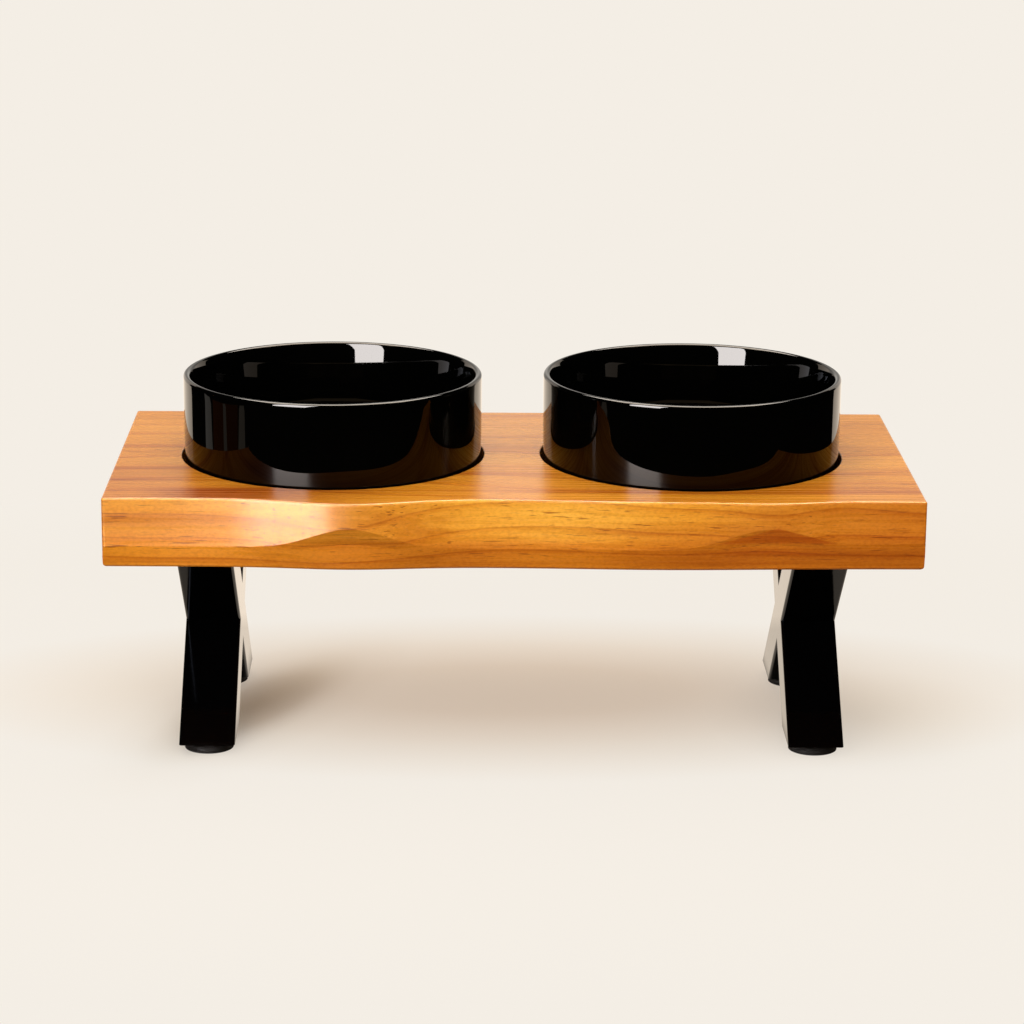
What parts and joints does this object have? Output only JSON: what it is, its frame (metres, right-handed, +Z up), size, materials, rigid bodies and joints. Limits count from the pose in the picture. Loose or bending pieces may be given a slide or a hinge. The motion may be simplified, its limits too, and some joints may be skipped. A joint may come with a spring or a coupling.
{
  "type": "raised double pet bowl stand",
  "caption": "Raised feeder: thick wavy-fronted wooden slab on X-shaped steel legs with levelling feet, holding two deep round ceramic bowls that lift out of pockets.",
  "frame": {"origin": "on the floor, under the middle of the stand's bounding box", "axes": "+Z up, +X to the right along the slab, -Y towards the carved front face"},
  "size_m": [0.43, 0.2116, 0.1953],
  "materials": {
    "wood": "honey-stained, satin varnish",
    "black_glaze": "high gloss",
    "seat_rubber": "matte",
    "black_paint": "gloss",
    "screw_steel": "black zinc",
    "zinc_steel": "bright zinc",
    "foot_plastic": "satin"
  },
  "bodies": {
    "stand": {"wood_slab": "wood", "left_seat_ring": "seat_rubber", "left_leg_main_tube": "black_paint", "left_leg_upper_tube": "black_paint", "left_leg_lower_tube": "black_paint", "left_mounting_plate": "black_paint", "left_leg_screws": "screw_steel", "left_front_foot_plate": "black_paint", "left_front_foot_nut": "zinc_steel", "left_back_foot_plate": "black_paint", "left_back_foot_nut": "zinc_steel", "right_seat_ring": "seat_rubber", "right_leg_main_tube": "black_paint", "right_leg_upper_tube": "black_paint", "right_leg_lower_tube": "black_paint", "right_mounting_plate": "black_paint", "right_leg_screws": "screw_steel", "right_front_foot_plate": "black_paint", "right_front_foot_nut": "zinc_steel", "right_back_foot_plate": "black_paint", "right_back_foot_nut": "zinc_steel"},
    "left_bowl": {"left_bowl": "black_glaze"},
    "right_bowl": {"right_bowl": "black_glaze"},
    "left_front_pad": {"left_front_foot_pad": "foot_plastic"},
    "left_front_stem": {"left_front_foot_stem": "zinc_steel"},
    "left_back_pad": {"left_back_foot_pad": "foot_plastic"},
    "left_back_stem": {"left_back_foot_stem": "zinc_steel"},
    "right_front_pad": {"right_front_foot_pad": "foot_plastic"},
    "right_front_stem": {"right_front_foot_stem": "zinc_steel"},
    "right_back_pad": {"right_back_foot_pad": "foot_plastic"},
    "right_back_stem": {"right_back_foot_stem": "zinc_steel"}
  },
  "joints": [
    {"name": "left_bowl_lift", "type": "slide", "parent": "stand", "child": "left_bowl", "axis": [0, 0, 1], "range_m": [0, 0.06]},
    {"name": "right_bowl_lift", "type": "slide", "parent": "stand", "child": "right_bowl", "axis": [0, 0, 1], "range_m": [0, 0.06]},
    {"name": "left_front_foot_height", "type": "slide", "parent": "stand", "child": "left_front_pad", "axis": [0, 0, -1], "range_m": [0, 0.005]},
    {"name": "left_front_stem_turn", "type": "hinge", "parent": "left_front_pad", "child": "left_front_stem", "pos_m": [-0.164, -0.0521, 0.0096], "axis": [0, 0, -1], "range_deg": [0, 1800.1]},
    {"name": "left_back_foot_height", "type": "slide", "parent": "stand", "child": "left_back_pad", "axis": [0, 0, -1], "range_m": [0, 0.005]},
    {"name": "left_back_stem_turn", "type": "hinge", "parent": "left_back_pad", "child": "left_back_stem", "pos_m": [-0.164, 0.0683, 0.0096], "axis": [0, 0, -1], "range_deg": [0, 1800.1]},
    {"name": "right_front_foot_height", "type": "slide", "parent": "stand", "child": "right_front_pad", "axis": [0, 0, -1], "range_m": [0, 0.005]},
    {"name": "right_front_stem_turn", "type": "hinge", "parent": "right_front_pad", "child": "right_front_stem", "pos_m": [0.164, -0.0521, 0.0096], "axis": [0, 0, -1], "range_deg": [0, 1800.1]},
    {"name": "right_back_foot_height", "type": "slide", "parent": "stand", "child": "right_back_pad", "axis": [0, 0, -1], "range_m": [0, 0.005]},
    {"name": "right_back_stem_turn", "type": "hinge", "parent": "right_back_pad", "child": "right_back_stem", "pos_m": [0.164, 0.0683, 0.0096], "axis": [0, 0, -1], "range_deg": [0, 1800.1]}
  ],
  "couplings": [
    {"joint": "left_front_stem_turn", "follows": "left_front_foot_height", "rad_per_m": 6283.2},
    {"joint": "left_back_stem_turn", "follows": "left_back_foot_height", "rad_per_m": 6283.2},
    {"joint": "right_front_stem_turn", "follows": "right_front_foot_height", "rad_per_m": 6283.2},
    {"joint": "right_back_stem_turn", "follows": "right_back_foot_height", "rad_per_m": 6283.2}
  ]
}
